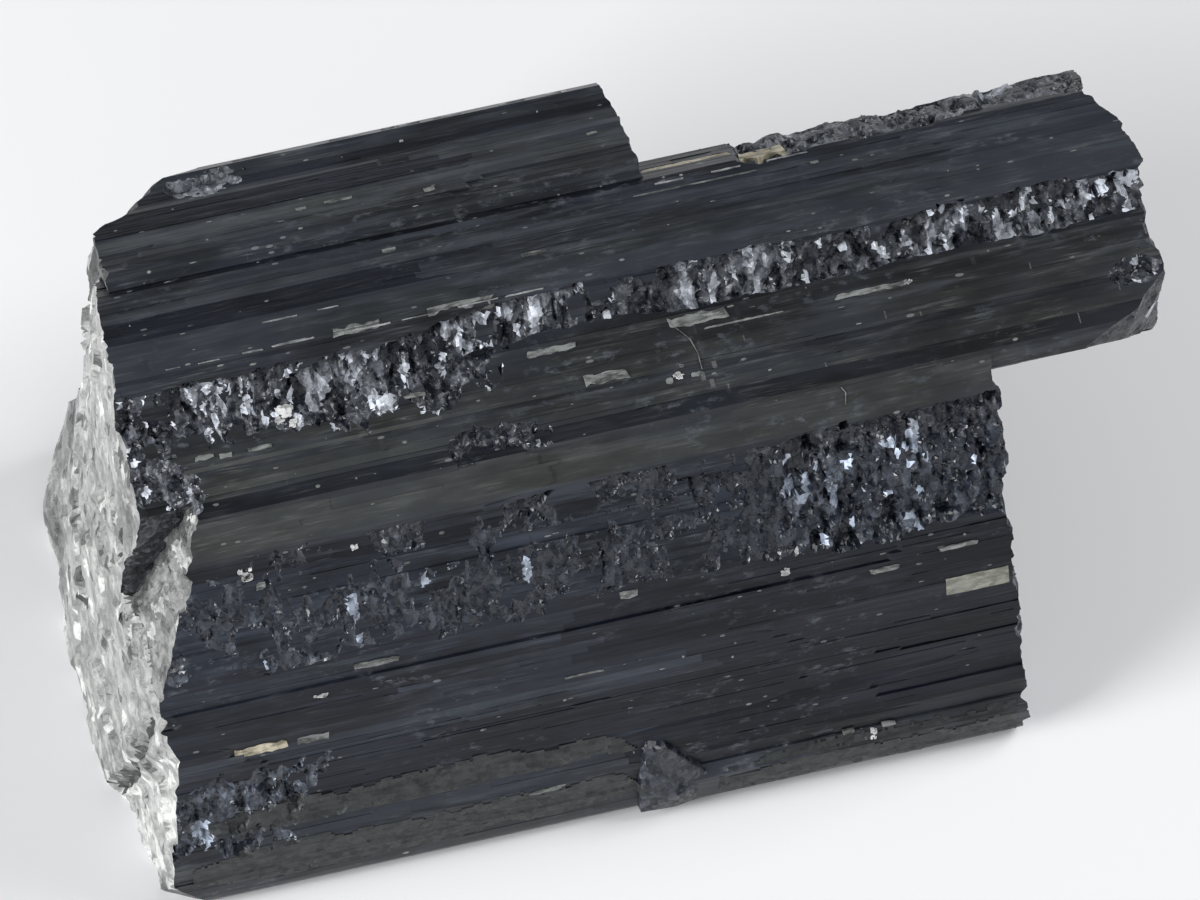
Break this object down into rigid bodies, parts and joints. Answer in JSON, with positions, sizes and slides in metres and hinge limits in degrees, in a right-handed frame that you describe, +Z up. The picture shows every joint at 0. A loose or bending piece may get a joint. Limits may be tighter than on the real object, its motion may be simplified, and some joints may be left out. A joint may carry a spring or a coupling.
{
  "type": "black tourmaline crystal",
  "caption": "Broken chunk of black tourmaline: intergrown striated prisms with rough fracture bands and a pale broken end, lying on a flat natural face.",
  "frame": {"origin": "middle of the footprint, on the surface that the crystal lies on", "axes": "+X along the prisms towards the long prism's free end, +Y towards the back, +Z up"},
  "size_m": [0.059, 0.0324, 0.0283],
  "materials": {
    "black_tourmaline": "glossy black striated crystal faces, with grey-white grainy breaks"
  },
  "bodies": {
    "root": {"tourmaline_crystal": "black_tourmaline"}
  },
  "joints": []
}
